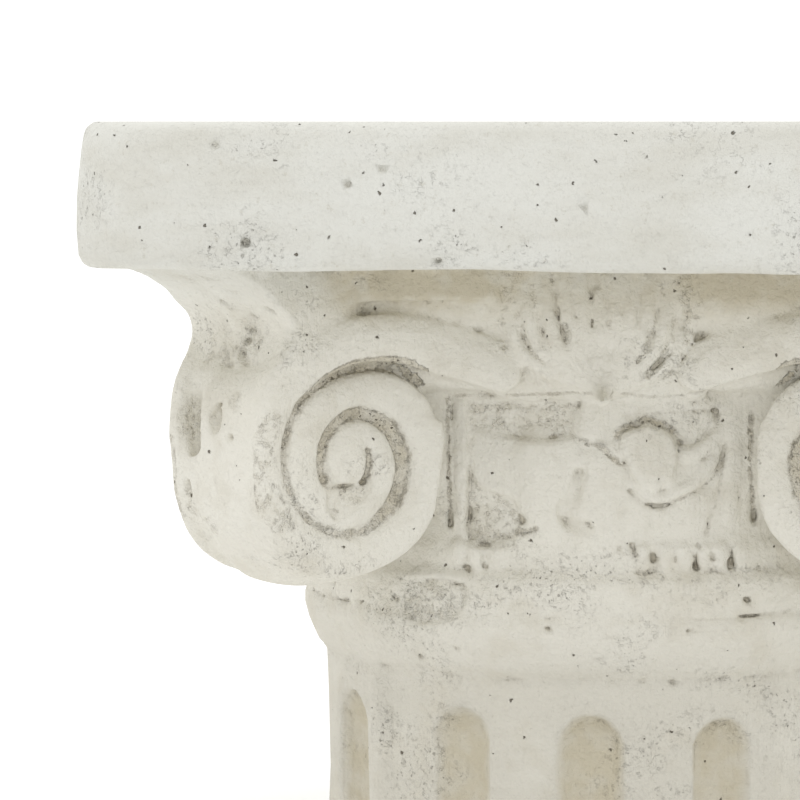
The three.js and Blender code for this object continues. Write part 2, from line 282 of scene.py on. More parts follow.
def scroll_relief():
    """Face of a scroll: how far the surface stands over the flared face, by (along - eye, drop - eye)."""
    face = Relief((-60, 60), (-60, 60))
    gap, share, _ = line_distance(face.first, face.second, groove_path())
    stops = np.arange(len(GROOVE))
    place = share * stops[-1]
    half = np.interp(place, stops, [stop[1] for stop in GROOVE])
    depth = np.interp(place, stops, [stop[2] for stop in GROOVE])
    # flat-floored channel with steep worn sides, and a soft cushion on the band between its turns
    face.height -= depth * ramp(gap, half + 0.9, half - 0.9)
    face.height += 1.0 * ramp(gap, half + 0.5, half + 4.5)
    face.note(half - gap, np.clip(depth / 3.0, 0.0, 1.0))
    # worn outer edge below the outward pass of the groove
    worn = face.area([(27, -18), (31, -6), (29, 8), (22, 20), (33, 22), (42, 4), (38, -20)], -0.5, 3.0)
    face.note(worn, 0.3)
    # eye, the little groove that curls round it and the sunk corner below
    radius = np.hypot(face.first - 2.1, face.second + 0.7)
    face.height += 0.7 * ramp(radius, 8.4, 5.0)
    face.stroke([(-6.4, -4.4), (-7.6, 1.2), (-6.4, 6.0)], 2.1, -2.0, (0.9, 1.2))
    face.area([(8.6, 7.6), (3.6, 7.2), (-2.4, 6.9), (-6.2, 5.2), (-8.0, 7.5), (-7.6, 10.4), (-3, 15),
               (1, 18.6), (5.2, 19.6), (9.4, 15.2)], -1.9, 0.8)
    # where the groove opens wide towards the neck
    face.area([(-40, -25), (-33, -33), (-18, -35.5), (-12, -33), (-22, -28), (-28, -22), (-33, -14)],
              -2.2, 1.0)
    return face


def side_relief():
    """Worn relief on one side of the neck and the ring under it, by (across, drop)."""
    neck = Relief((-80, 80), (60, 204))
    panel_relief(neck)
    egg_relief(neck)
    foot_relief(neck)
    ring_wear(neck)
    return neck


def panel_relief(neck):
    """Sunk panel, hanging cloth and upright strips on the left of the neck."""
    neck.stroke([(-50, 96.4), (-30, 95.6), (-10, 94.8), (3.2, 93.8)], 1.2, -1.9)
    neck.area([(-46, 99), (-28, 98), (-7, 97.2), (-8.7, 103), (-9.6, 109), (-16, 111), (-28, 110.8),
               (-39, 108.6), (-46, 107)], -2.2, 1)
    neck.stroke([(-45, 107.6), (-39, 109), (-32, 110.8), (-16, 111.2), (-9, 109.6)], 1.6, -0.7)
    neck.stroke([(-32, 102), (-24, 103.5), (-17, 101.5)], 3, 0.7)
    neck.stroke([(-48.8, 99), (-48.6, 118), (-48.4, 139)], 3.3, 2.6, (1, 0.8))
    neck.stroke([(-53.2, 97), (-53, 120), (-52.6, 143)], 1.5, -2)
    neck.stroke([(-45.2, 112), (-45.2, 122), (-45.4, 140)], 1.2, -0.9)
    # stepped lower edge of the cloth: what lies left of it and below is sunk
    neck.area([(-45.6, 121), (-43.8, 125.3), (-40, 129.4), (-34.5, 131.2), (-29.6, 133), (-28.2, 137),
               (-25.8, 140.4), (-29, 143.5), (-31, 147), (-46, 148.5)], -2.3, 1)
    neck.stroke([(-27.6, 138.6), (-26.2, 140.4)], 1.6, -1.5)
    neck.crease([(-31, 146), (-26, 145), (-20.5, 143.6)], 1.6, -1.4, -1)
    neck.stroke([(-30.6, 146.4), (-29.2, 150.4)], 0.9, -1.1)
    neck.stroke([(-43, 149.4), (-36, 149.6), (-31.5, 148.4)], 1.2, -1.1)
    # hollow beside the middle
    neck.stroke([(-6.6, 123), (-9.2, 131), (-12.2, 136), (-10, 141), (-4, 142)], 3.2, -2.2)
    neck.stroke([(-22, 115), (-21, 127), (-19, 141)], 9, 1.5)
    neck.stroke([(1, 119), (0.5, 131), (0, 143)], 9, 1.4)


def egg_relief(neck):
    """Lobe, scalloped egg in its cup and the swag beside it, on the right of the neck."""
    neck.stroke([(-3, 96), (-2.4, 102), (-3.4, 108)], 5.2, 1.6)
    neck.stroke([(4.1, 90.5), (4, 96.6)], 0.9, -1.8)
    neck.stroke([(8, 94.6), (20, 96), (33, 94.6), (41, 91.5)], 1.2, -1.4)
    neck.stroke([(8.4, 102.2), (24, 101.8), (41, 101.2)], 0.8, -0.9)
    neck.area([(9, 103), (24, 102.8), (39, 102.2), (40.5, 105), (36, 109.5), (31, 111.8), (27.5, 111),
               (24.5, 107), (20, 105.2), (16, 104), (11, 106)], -0.9, 0.8)
    neck.crease([(-8.5, 109.4), (-3, 111), (0.8, 112), (3.6, 114.2), (6.4, 117), (10, 119.2)], 2.2, -2.2, 1)
    neck.area([(7.7, 113), (7.9, 109.6), (10.2, 107.9), (13.6, 107), (16.9, 105.4), (20, 107), (23.4, 108.2),
               (26.4, 111.2), (27.4, 117), (25.5, 124), (19, 129), (12, 124)], 2.4, 0.8)
    neck.crease([(7.2, 114.5), (7.6, 109.8), (10.2, 107.8), (13.6, 107), (16.9, 105.2), (20, 106.8),
                 (23.4, 108), (26.4, 111.2), (27.6, 115)], 2, -1.9, -1)
    neck.stroke([(27.4, 112), (31.9, 112.8), (38.3, 109), (42, 105.6)], 1.5, -1.5)
    neck.stroke([(30, 117), (37, 114.5), (43, 108)], 3, 1.3)
    neck.stroke([(10.5, 128.8), (15.5, 133.1), (22, 134.4), (28.4, 131.8), (36, 128.4), (41.8, 121.5),
                 (44, 114)], 1.3, -1.6)
    neck.stroke([(15, 130.2), (22, 131.6), (33, 127), (39.5, 119)], 2.8, 1.2)
    neck.stroke([(47.4, 104), (47.6, 120), (46, 138)], 3.4, 1.8)
    neck.stroke([(43.3, 117), (42.7, 126), (40.2, 136), (37.6, 144.4)], 1.2, -1.3, (0.8, 1.2))
    neck.stroke([(53.2, 102), (53, 122), (54.5, 140)], 1.8, -2.2)
    neck.stroke([(40.8, 101.6), (41.4, 103.6)], 1.9, -1.6)


def foot_relief(neck):
    """Row of worn beads over the ring, almost rubbed away on the left, with the drill holes between them."""
    for at, proud in ((-50, 1.5), (-44, 1.4), (-36, 0.5), (15.4, 1), (23, 0.8), (30, 0.7), (37, 0.9),
                      (42.8, 1.2), (50, 1)):
        neck.stroke([(at, 150), (at + 0.3, 154.5)], 3.4, 1.5 * proud)
    for at, low, size, deep in ((7.7, 149.5, 1.4, 1.3), (11.9, 148.6, 1.8, 2.2), (12.8, 151.2, 1.4, 1.8),
                                (18.7, 152.3, 2.3, 1.4), (35.1, 148.8, 1.4, 1.5), (34, 156, 1.4, 1.6),
                                (39.7, 152.3, 2, 1.2), (46.1, 155.4, 2.2, 2), (-18.7, 156, 1.1, 1.1),
                                (-40, 156.8, 1.4, 1.6), (-46, 158, 1.6, 1.6)):
        neck.stroke([(at - 0.4, low - 0.5), (at + 0.4, low + 0.5)], 0.9 * size, -0.8 * deep)


def ring_wear(neck):
    """Flaked patch, rubbed middle line and pits on the ring."""
    neck.area([(-69, 163), (-58, 161.5), (-47, 163), (-46, 168), (-50, 174), (-58, 177.5), (-68.5, 176)],
              -1.8, 1)
    neck.stroke([(-60, 166), (-55, 170), (-58, 174)], 2.4, 0.9)
    neck.stroke([(26, 173.6), (45, 174.4), (68, 173)], 1, -1)
    neck.stroke([(31, 178), (38, 178.6), (45, 178)], 0.8, -0.7)
    neck.stroke([(-30, 173), (-12, 174), (8, 173.4)], 1.3, -0.4)
    for at, low, size, deep in ((-50, 186, 1.5, 1.4), (-17.3, 177.5, 1.4, 1.2), (26, 197.5, 1.4, 1.2),
                                (-63, 190.5, 1.4, 1.3), (-72, 169.5, 1.6, 1.5), (52, 168, 1.3, 1),
                                (8, 188, 1.2, 0.9)):
        neck.stroke([(at - 0.5, low - 0.2), (at + 0.5, low + 0.3)], size, -deep)


def flower_relief():
    """Worn flower under the middle of the slab, by (across, drop)."""
    flower = Relief((-75, 75), (40, 110))
    foot = (1, 97)
    strands = ((-33, 68, 2.9), (-27, 60, 3.2), (-20, 55, 3.3), (-13, 52, 3.4), (-6.5, 50, 3.3), (0, 49, 3.4),
               (6, 50, 3.2), (12, 52, 3.4), (18, 55, 3.2), (25, 61, 3.2), (32, 71, 2.9))
    for tip, top, half in strands:
        bend = (foot[0] + 0.74 * (tip - foot[0]), 0.5 * (foot[1] + top) + 1)
        flower.stroke([foot, bend, (tip, top)], half, 2.1, (0.75, 1.15))
    strands_only = flower.height.copy()
    fan = flower.area([(-29, 84), (-31, 68), (-24, 54), (0, 46), (20, 52), (27, 68), (26, 82), (14, 95),
                       (-12, 95)], 3.8, 8)
    # tan stain and painted shade between the strands and beside the fan
    between = ramp(strands_only, 1.4, 0.3) * ramp(fan, -2, 3) * ramp(flower.second, 92, 80)
    beside = ramp(fan, 0.5, -3) * ramp(flower.second, 88, 76)
    flower.stain_and_shade = 0.3 * np.maximum(between, beside) * ramp(np.abs(flower.first), 41, 31)
    # drill holes and nicks among the strands
    for start, end, half, deep in (
            ((-11.6, 70.5), (-11, 76), 2.8, 1.8), ((-1.1, 54), (-1.1, 57), 1.8, 1.8),
            ((3.3, 69.6), (3.4, 71.6), 2, 1.9), ((2, 73.6), (2.9, 81), 1.1, 1.2),
            ((10.6, 56), (10.8, 58.5), 1.3, 1.2), ((17, 88.6), (20.9, 83.6), 1.7, 1.9),
            ((27.6, 86.6), (29, 87.2), 2.1, 2), ((29.5, 65.8), (40.6, 60.4), 1.3, 1.5),
            ((24, 69.4), (27.5, 68.2), 1.2, 1.2), ((-20.8, 75), (-15.8, 84.6), 1.5, 1),
            ((-9, 61), (-8.4, 68), 1.4, 0.9), ((17.2, 72), (17.8, 82), 1.4, 0.9)):
        flower.stroke((start, end), 0.85 * half, -0.55 * deep)
    return flower


# ---- the casting as a distance field ----

def slab_field(x, y, drop):
    corner_x = np.abs(x) - (SLAB_HALF - SLAB_CORNER)
    corner_y = np.abs(y) - (SLAB_HALF - SLAB_CORNER)
    outside = np.hypot(np.clip(corner_x, 0, None), np.clip(corner_y, 0, None))
    inside = np.minimum(np.maximum(corner_x, corner_y), 0)
    edge = outside + inside - SLAB_CORNER
    belly = curve(drop, [(-5, 4.6), (0, 4), (3, 2.9), (9, 1.8), (17, 0.7), (26, 0), (38, 0), (46, 0.9),
                         (55, 2)])
    return soft_cut(edge + belly, np.abs(drop - SLAB_THICK / 2) - SLAB_THICK / 2, 5.5)


def moulding_field(across, outward, along, aside, drop):
    """Thin fillet under the slab, hollow moulding on the horns, and the wall behind the flower."""
    reach = curve(drop, [(40, 210), (50, 206), (51, 203.5), (53, 196), (55, 193), (57.5, 188), (59.5, 185.7),
                         (61.6, 184), (63.8, 181.2), (66, 177.8), (68, 176), (72, 174.5), (76, 174.8),
                         (82, 177)])
    horn = soft_cut(along - reach, np.abs(aside) - HORN_HALF, 3)
    horn = soft_cut(horn, drop - 84, 3)
    share = np.abs(across) / 104
    ledge = ramp(across, -26, -44)
    fillet = soft_cut(outward - (110 + 6 * ledge + 15 * share ** 2), drop - 62, 1.6)
    front = curve(drop, [(40, 114), (62, 113.5), (67, 112), (74, 108), (84, 104.5), (100, 102)])
    wall = soft_cut(outward - (front + 13 * share ** 2), drop - 94, 6)
    body = soft_cut(soft_union(fillet, wall, 2), along - reach - 1, 3)
    body = soft_union(horn, body, 3)
    return soft_cut(body, 45 - drop, 1)


def scroll_half_width(along):
    return curve(along, [(60, 62), (96, 47), (112, 39), (124, 34), (137, 29.8), (149, 27.6), (168, 25.6),
                         (188, 24.8), (210, 24.6)])


# distance of a scroll's rim from its eye by direction, in degrees
SCROLL_RIM = ((-180, 33.8), (-165, 34.8), (-140, 38), (-120, 38.8), (-90, 38.8), (-75, 40.4), (-60, 41.2),
              (-45, 41.4), (-30, 40.2), (0, 38), (15, 39.3), (30, 43), (45, 47.4), (60, 48.4), (75, 47.2),
              (90, 45), (105, 42), (120, 38.5), (150, 37), (180, 33.8))


def scroll_radius(turn):
    """Rim radius, lightly smoothed: direction 0 points outward, a quarter turn points up."""
    degrees = np.degrees(turn)
    total = 0.0
    for shift in (-7.0, 0.0, 7.0):
        angle = (degrees + shift + 180.0) % 360.0 - 180.0
        total = total + np.interp(angle, *zip(*SCROLL_RIM))
    return (total / 3.0).astype(np.float32)


def scroll_field(along, aside, drop, face_relief):
    """One diagonal scroll, flared towards the neck, with a cushioned rim between its two faces."""
    reach = along - EYE_ALONG
    fall = drop - EYE_DROP
    turn = np.arctan2(-fall, reach)
    radius = scroll_radius(turn)
    half = scroll_half_width(along)
    share = aside / half
    degrees = np.degrees(turn)
    below = ramp(degrees, -20.0, -70.0) * ramp(degrees, -178.0, -150.0)
    cushion = 1.0 + 3.8 * below - 7.5 * ramp(degrees, 28.0, 62.0)
    middle = cushion * np.clip(1.0 - share ** 2, 0.0, None)
    # channel that sets off the raised edge on one side of the rim
    depth = 3.4 * ramp(np.abs(degrees - 22.0), 24.0, 10.0) + 2.8 * ramp(np.abs(degrees + 50.0), 26.0, 10.0)
    channel = depth * bump_profile(share - 0.52, 0.27)
    rim = np.hypot(reach, fall) - (radius + middle - channel)
    relief = face_relief.at(np.broadcast_to(reach, rim.shape), np.broadcast_to(fall, rim.shape))
    face = (np.abs(aside) - half - relief) * 0.93
    return soft_cut(rim, face, 3.0)


def scroll_root(along, aside, drop):
    """Mass that ties a scroll to the neck behind its face."""
    half = scroll_half_width(along) - 11.0
    body = soft_cut(np.abs(aside) - half, np.abs(drop - 100.0) - 34.0, 12.0)
    return soft_cut(body, along - EYE_ALONG, 8.0)


# outline of the band that runs from a scroll towards the flower, by (across, drop)
BAND_TOP = ((-104, 76), (-91, 69.5), (-75, 66.5), (-62, 67.3), (-52, 69.2), (-44, 72.6), (-34, 76.6),
            (-29, 82), (-27, 89))
BAND_FOOT = ((-32, 93.5), (-38, 92.5), (-48, 89.4), (-58, 86.8), (-67, 83.6), (-81, 82.6), (-95, 88),
             (-104, 96))


def band_map():
    """Map whose height is the distance into the band's outline, below 0 outside it."""
    sheet = Relief((-110, 0), (50, 110))
    sheet.height = sheet.area(BAND_TOP + BAND_FOOT, 0.0)
    return sheet


def band_field(across, outward, drop, sheet):
    left = -np.abs(across)
    shape = np.broadcast_to(left, np.broadcast(left, outward, drop).shape)
    inside = sheet.at(shape, np.broadcast_to(drop, shape.shape))
    front = curve(left, [(-120, 150), (-104, 139), (-91, 131.0), (-75, 122.5), (-62, 117), (-54, 114),
                         (-40, 111.5), (-27, 110.5), (0, 110)])
    crown = 1.2 + 1.4 * ramp(inside, 0.0, 7.0)
    return soft_cut(-inside, outward - front - crown, 2.6)


def turned_radius(drop):
    """Radius of the round neck, the ring under it and the shaft."""
    return curve(drop, [(80, 101), (92, 104), (100, 104.6), (120, 105.2), (140, 104.8), (146, 104.6),
                        (151, 106), (155, 106), (158, 106.3), (160.5, 109.3), (165, 110.3), (171, 110.2),
                        (173.2, 109.6), (176, 110.9), (180, 111), (184, 109.9), (188, 108.2), (192, 106.2),
                        (194, 105), (195.6, 102.3), (198, 101.9), (240, 101.4), (270, 101)])


def shaft_arrises(x, y):
    """Soft upright ridges that the casting mould left on the shaft."""
    bearing = np.degrees(np.arctan2(x, -y))
    height = 0.0
    for place in (-51.0, 40.0):
        apart = (bearing - place + 45.0) % 90.0 - 45.0
        height = height + 1.3 * bump_profile(apart, 3.4)
    return height


def side_places(x, y):
    """Across, outward, along, aside and radius of points in the front-left quarter."""
    on_front = -y >= -x
    across = np.where(on_front, x, -y)
    outward = np.where(on_front, -y, -x)
    return across, outward, -(x + y) / math.sqrt(2.0), (y - x) / math.sqrt(2.0), np.hypot(x, y)


def quarter_field(spots, drops, reliefs):
    """The whole casting but for its flutes and damage, over the quarter at the front left."""
    x = spots[:, None, None]
    y = spots[None, :, None]
    drop = drops[None, None, :]
    across, outward, along, aside, radius = side_places(x, y)
    shape = np.broadcast(x, y, drop).shape
    places = np.broadcast_to(across, shape), np.broadcast_to(drop, shape)

    field = moulding_field(across, outward, along, aside, drop)

    arris = shaft_arrises(x, y) * ramp(drop, 193.0, 199.0)
    turned = (radius - turned_radius(drop) - reliefs["neck"].at(*places) - arris) * 0.96
    field = soft_union(field, soft_cut(turned, 84.0 - drop, 6.0), 3.0)

    behind = curve(drop, [(40, 109), (54, 109), (66, 109.5), (80, 108.5), (90, 106), (97, 103)])
    fan = outward - (behind + reliefs["flower"].at(*places))
    fan = soft_cut(fan, np.abs(across) - 37.0, 4.0)
    fan = soft_cut(soft_cut(fan, drop - 97.0, 3.0), 44.0 - drop, 2.0)
    field = soft_union(field, fan, 2.0)

    field = soft_union(field, scroll_root(along, aside, drop), 7.0)
    field = soft_union(field, scroll_field(along, aside, drop, reliefs["scroll"]), 2.2)
    field = soft_union(field, band_field(across, outward, drop, band_map()), 1.6)
    return soft_union(field, slab_field(x, y, drop), 1.6)


def all_round(quarter):
    """Four copies of the front-left quarter, each turned by a right angle."""
    beside = quarter.transpose(1, 0, 2)[::-1]
    front = np.concatenate([quarter, beside], axis=0)
    return np.concatenate([front, front[::-1, ::-1]], axis=1)


def fold(x, y):
    """Points turned by right angles into the front-left quarter."""
    for _ in range(3):
        outside = (x > 0) | (y > 0)
        x, y = np.where(outside, y, x), np.where(outside, -x, y)
    return x, y


class Casting:
    """The field on its grid, with windows for local work."""

    def __init__(self):
        count = int(math.ceil(SLAB_HALF / CELL)) + PAD
        spots = ((np.arange(count) - count + 0.5) * CELL).astype(np.float32)
        levels = int(math.ceil(HEIGHT / CELL)) + 2 * PAD
        self.drops = (HEIGHT + PAD * CELL - np.arange(levels) * CELL).astype(np.float32)
        self.reliefs = {"neck": side_relief(), "flower": flower_relief(), "scroll": scroll_relief()}
        self.field = all_round(quarter_field(spots, self.drops, self.reliefs))
        self.axis = np.concatenate([spots, -spots[::-1]])
        self.marks = []
        self.flute_marks = []

    def window(self, centre, reach):
        """Slices and coordinates of the cells within reach of a point (x, y, drop)."""
        picks = []
        places = []
        for axis, spots in enumerate((self.axis, self.axis, self.drops)):
            near = np.nonzero(np.abs(spots - centre[axis]) <= reach)[0]
            picks.append(slice(near[0], near[-1] + 1))
            shape = [1, 1, 1]
            shape[axis] = -1
            places.append(spots[picks[-1]].reshape(shape) - centre[axis])
        return tuple(picks), places

    def first_solid(self, x, y, drop):
        """First of the places on a line that is in the casting, or None where the line misses it."""
        i = np.clip(np.round((x - self.axis[0]) / CELL), 0, self.axis.size - 1).astype(int)
        j = np.clip(np.round((y - self.axis[0]) / CELL), 0, self.axis.size - 1).astype(int)
        k = int(np.clip(round((self.drops[0] - drop) / CELL), 0, self.drops.size - 1))
        solid = np.nonzero(self.field[i, j, k] < 0)[0]
        if solid.size == 0:
            return None
        return float(x[solid[0]]), float(y[solid[0]]), drop

    def skin(self, side, across, drop):
        """Surface point met square on from a side: 0 front, 1 right, 2 back, 3 left."""
        outward = np.arange(SLAB_HALF + 3.0, 60.0, -0.5 * CELL)
        x, y = np.full_like(outward, across), -outward
        for _ in range(side):
            x, y = -y, x
        return self.first_solid(x, y, drop)

    def corner_skin(self, aside, drop):
        """Surface point met along the front left diagonal."""
        along = np.arange(240.0, 120.0, -0.5 * CELL)
        x, y = -(along + aside) / math.sqrt(2.0), -(along - aside) / math.sqrt(2.0)
        return self.first_solid(x, y, drop)

    def dent(self, centre, size, blend=0.5, squeeze=(1.0, 1.0, 1.0)):
        """Press a round hollow into the surface at a point, and note it for the dirt that gathers there."""
        picks, (dx, dy, dz) = self.window(centre, size * max(squeeze) + blend + 3.0)
        gap = np.sqrt((dx / squeeze[0]) ** 2 + (dy / squeeze[1]) ** 2 + (dz / squeeze[2]) ** 2)
        self.field[picks] = soft_cut(self.field[picks], size - gap, blend)
        self.marks.append((*centre, size * max(squeeze), 0.75))

    def pit(self, side, across, drop, size, squeeze=(1.0, 1.0, 1.0)):
        place = self.skin(side, across, drop)
        if place:
            self.dent(place, size, 0.5, squeeze)

    def flutes(self):
        """Twelve hand-cut flutes, a little uneven, with round heads below the ring."""
        random = np.random.default_rng(SEED)
        first = int(np.nonzero(self.drops > FLUTE_TOP - 12)[0][-1]) + 1
        x = self.axis[:, None, None]
        y = self.axis[None, :, None]
        drop = self.drops[None, None, :first]
        for i in range(FLUTES):
            bearing = 2 * math.pi * i / FLUTES + math.radians(FLUTE_SHIFTS[i])
            top = FLUTE_TOP + random.normal(0, 1.2)
            half = FLUTE_HALF + random.normal(0, 0.7)
            out = x * math.sin(bearing) - y * math.cos(bearing)
            side = x * math.cos(bearing) + y * math.sin(bearing)
            self.flute_marks.append((bearing, top, half))
            gap = np.hypot(side, np.clip(top + half - drop, 0, None))
            floor_at = SHAFT_RADIUS - 6.2 * np.clip(1.0 - (gap / half) ** 2, 0, None) ** 0.55
            cutter = np.where((gap < half) & (out > 60), out - floor_at, -FIELD_LIMIT)
            self.field[:, :, :first] = np.maximum(self.field[:, :, :first], cutter)


def smooth_noise(sizes, cell, seed):
    """Soft random field over a grid, with bumps about "cell" millimetres across, spread 1."""
    random = np.random.default_rng(seed)
    knots = [int(size * CELL / cell) + 4 for size in sizes]
    values = random.normal(0, 1, knots).astype(np.float32)
    for axis, size in enumerate(sizes):
        place = np.arange(size) * CELL / cell + 1.0
        base = place.astype(int)
        t = (place - base).astype(np.float32)
        weights = ((1 - t) ** 3 / 6, (3 * t ** 3 - 6 * t ** 2 + 4) / 6,
                   (-3 * t ** 3 + 3 * t ** 2 + 3 * t + 1) / 6, t ** 3 / 6)
        matrix = np.zeros((size, knots[axis]), dtype=np.float32)
        for offset, weight in enumerate(weights):
            matrix[np.arange(size), base - 1 + offset] = weight
        values = np.moveaxis(np.tensordot(matrix, values, axes=(1, axis)), 0, axis)
    return values / max(float(values.std()), 1e-6)


def weather(casting):
    """Hand-rubbed unevenness: soft all over, rough where the rubbing never reached."""
    sizes = casting.field.shape
    for cell, height, seed in ((34.0, 0.4, 1), (12.0, 0.16, 2)):
        casting.field += height * smooth_noise(sizes, cell, SEED + seed)
    sunk = casting.field - blurred(casting.field, max(1, round(2.2 / CELL)))
    rough = 0.1 * ramp(casting.drops, SLAB_THICK + 2, SLAB_THICK + 8) + ramp(sunk, 0.04, 0.5)
    for cell, height, seed in ((5.0, 0.42, 3), (2.6, 0.3, 4)):
        casting.field += height * rough * smooth_noise(sizes, cell, SEED + seed)


# Air holes and nicks that stand out on the front, by (across, drop, size)
FRONT_PITS = ((-71.8, 15.8, 2), (-83.3, 20.8, 1.8), (-117.3, 40.3, 1.9), (-5.1, 28.7, 1.9),
              (-53.5, 46.5, 1.9))
# the same down the front left scroll's rim and the horn above it, by (aside, drop, size, height ratio)
RIM_PITS = ((-1, 102, 3, 1.7), (-2.5, 99, 2.2, 1.3), (13, 104, 4.2, 3.2), (-2, 80, 2, 1),
            (1.5, 77.5, 1.6, 1), (-5, 82.5, 1.7, 1), (-3.5, 75.5, 1.5, 1), (10, 81.2, 1.7, 0.6),
            (5.5, 82, 1.5, 0.6), (-1, 62.5, 1.6, 1.5), (-6, 72, 1.7, 0.7), (15, 128, 1.8, 2.4),
            (9, 138, 1.5, 0.8), (-9, 108, 1.4, 1))
# rough stained patches there, by (aside, drop, reach)
RIM_STAINS = ((-1, 80, 9), (-3, 64, 5), (-5, 70, 6), (7, 81.5, 6),
              (14, 82, 5), (-9, 76, 7), (12, 112, 6), (-11, 96, 6),
              (6, 140, 6), (14, 134, 5))


def age(casting):
    """Chips, nicks and air holes: those that stand out on the front, and seeded ones on every side."""
    for across, drop, size in FRONT_PITS:
        casting.pit(0, across, drop, size)
    for aside, drop, size, tall in RIM_PITS:
        casting.dent(casting.corner_skin(aside, drop), size, 0.8, (1.0, 1.0, tall))
    for aside, drop, reach in RIM_STAINS:
        casting.marks.append((*casting.corner_skin(aside, drop), reach, 0.7))
    casting.dent((-177.5, -128.0, -0.5), 3.4, 1.0)
    random = np.random.default_rng(SEED + 9)
    for side in range(4):
        for _ in range(7):
            across, drop = random.uniform(-172, 172), random.uniform(3, 245)
            size = 1.8 + 0.8 * random.random() ** 2
            casting.pit(side, across, drop, size, (1.0, 1.0, random.uniform(0.8, 1.4)))
        for _ in range(5):
            edge = -0.8 if random.random() < 0.5 else SLAB_THICK + 0.8
            place = casting.skin(side, random.uniform(-150, 150), SLAB_THICK / 2)
            casting.dent((place[0], place[1], edge), random.uniform(1.8, 3.2), 0.8, (1.4, 1.4, 1.0))


def blurred(field, reach):
    """Running mean of a field over a cube of side 2 * reach + 1 cells."""
    for axis in range(3):
        moved = np.moveaxis(field, axis, 0)
        padded = np.pad(moved, ((reach + 1, reach), (0, 0), (0, 0)), mode="edge")
        total = np.cumsum(padded, axis=0, dtype=np.float32)
        moved = (total[2 * reach + 1:] - total[:-2 * reach - 1]) / (2 * reach + 1)
        field = np.moveaxis(moved, 0, axis)
    return field


def sample(field, places):
    """Value of a field at grid places (an array of rows), straight between cells."""
    top = np.array(field.shape) - 1.001
    places = np.clip(places, 0, top)
    base = places.astype(np.int32)
    share = places - base
    value = 0.0
    for corner in range(8):
        offset = np.array([corner >> 2 & 1, corner >> 1 & 1, corner & 1])
        weight = np.prod(np.where(offset, share, 1 - share), axis=1)
        i, j, k = (base + offset).T
        value = value + weight * field[i, j, k]
    return value


# ---- from field to mesh ----

# how far round a point its skin is compared with, to tell a hollow and a sheltered place
HOLLOW_REACH = 2.5
SHELTER_REACH = 7.5
# marks smaller than this are pits, which keep the finest mesh; the carved front comes next
PIT_LIMIT = 5.0
THINNING = {"pits": 0.05, "carved": 0.3, "plain": 1.0}


def skin_mesh(casting, field):
    """Mesh of the field's surface, and its vertices in millimetres."""
    grid = openvdb.FloatGrid(background=FIELD_LIMIT)
    grid.copyFromArray(field, tolerance=0)
    points, _, quads = grid.convertToPolygons(isovalue=0.0, adaptivity=0.0)
    spots = np.empty_like(points)
    spots[:, :2] = points[:, :2] * CELL + casting.axis[0]
    spots[:, 2] = HEIGHT - (casting.drops[0] - points[:, 2] * CELL)

    mesh = bpy.data.meshes.new("casting")
    mesh.vertices.add(len(points))
    mesh.vertices.foreach_set("co", (spots * MM).ravel())
    mesh.loops.add(quads.size)
    mesh.loops.foreach_set("vertex_index", quads[:, ::-1].ravel())
    mesh.polygons.add(len(quads))
    mesh.polygons.foreach_set("loop_start", np.arange(0, quads.size, 4))
    mesh.update(calc_edges=True)
    return mesh, spots


def thin(piece, casting, spots):
    """Bring the mesh down to its limit of triangles, the carved front and the pits least."""
    modifier = piece.modifiers.new("thin", "DECIMATE")
    modifier.ratio = min(1.0, TRIANGLES / (2 * len(piece.data.polygons)))
    group = piece.vertex_groups.new(name="thinning")
    drop = HEIGHT - spots[:, 2]
    front = (spots[:, 1] < -70) & (drop > SLAB_THICK) & (drop < 200) & (spots[:, 0] < 90)
    pits = dirt_in_marks([mark for mark in casting.marks if mark[3] < PIT_LIMIT], spots) > 0
    for name, where in (("pits", pits), ("carved", front & ~pits), ("plain", ~front & ~pits)):
        group.add(np.nonzero(where)[0].tolist(), THINNING[name], "REPLACE")
    modifier.vertex_group = group.name
    modifier.vertex_group_factor = 1.0
    bpy.context.view_layer.update()
    evaluated = piece.evaluated_get(bpy.context.evaluated_depsgraph_get())
    reduced = bpy.data.meshes.new_from_object(evaluated)
    piece.modifiers.clear()
    piece.vertex_groups.clear()
    piece.data = reduced
    reduced.shade_smooth()


def add_layers(mesh, casting, field):
    """Numbers on the vertices that tell the stone where dirt, dust, painted shade and worn edges are."""
    spots = np.empty(len(mesh.vertices) * 3, dtype=np.float32)
    mesh.vertices.foreach_get("co", spots)
    spots = spots.reshape(-1, 3) / MM
    cells = np.empty_like(spots)
    cells[:, :2] = (spots[:, :2] - casting.axis[0]) / CELL
    cells[:, 2] = (casting.drops[0] - (HEIGHT - spots[:, 2])) / CELL
    near = blurred(field, max(1, round(HOLLOW_REACH / CELL)))
    wide = blurred(field, max(2, round(SHELTER_REACH / CELL)))
    layers = {
        "hollow": np.maximum(-sample(near, cells), dirt_in_marks(casting.marks, spots)),
        "shelter": -sample(wide, cells),
        "dust": dust_and_shade_at(spots),
        **seams_at(spots, casting),
    }
    for name, values in layers.items():
        layer = mesh.attributes.new(name, "FLOAT", "POINT")
        layer.data.foreach_set("value", values.astype(np.float32))


def build_casting():
    casting = Casting()
    casting.flutes()
    weather(casting)
    age(casting)
    field = np.maximum(casting.field, casting_box(casting))
    field = np.clip(field, -FIELD_LIMIT, FIELD_LIMIT).astype(np.float32)
    mesh, spots = skin_mesh(casting, field)
    piece = bpy.data.objects.new("worn_casting", mesh)
    bpy.context.collection.objects.link(piece)
    thin(piece, casting, spots)
    add_layers(piece.data, casting, field)
    print("casting", len(mesh.polygons), "quads,", len(piece.data.polygons), "triangles")
    return piece


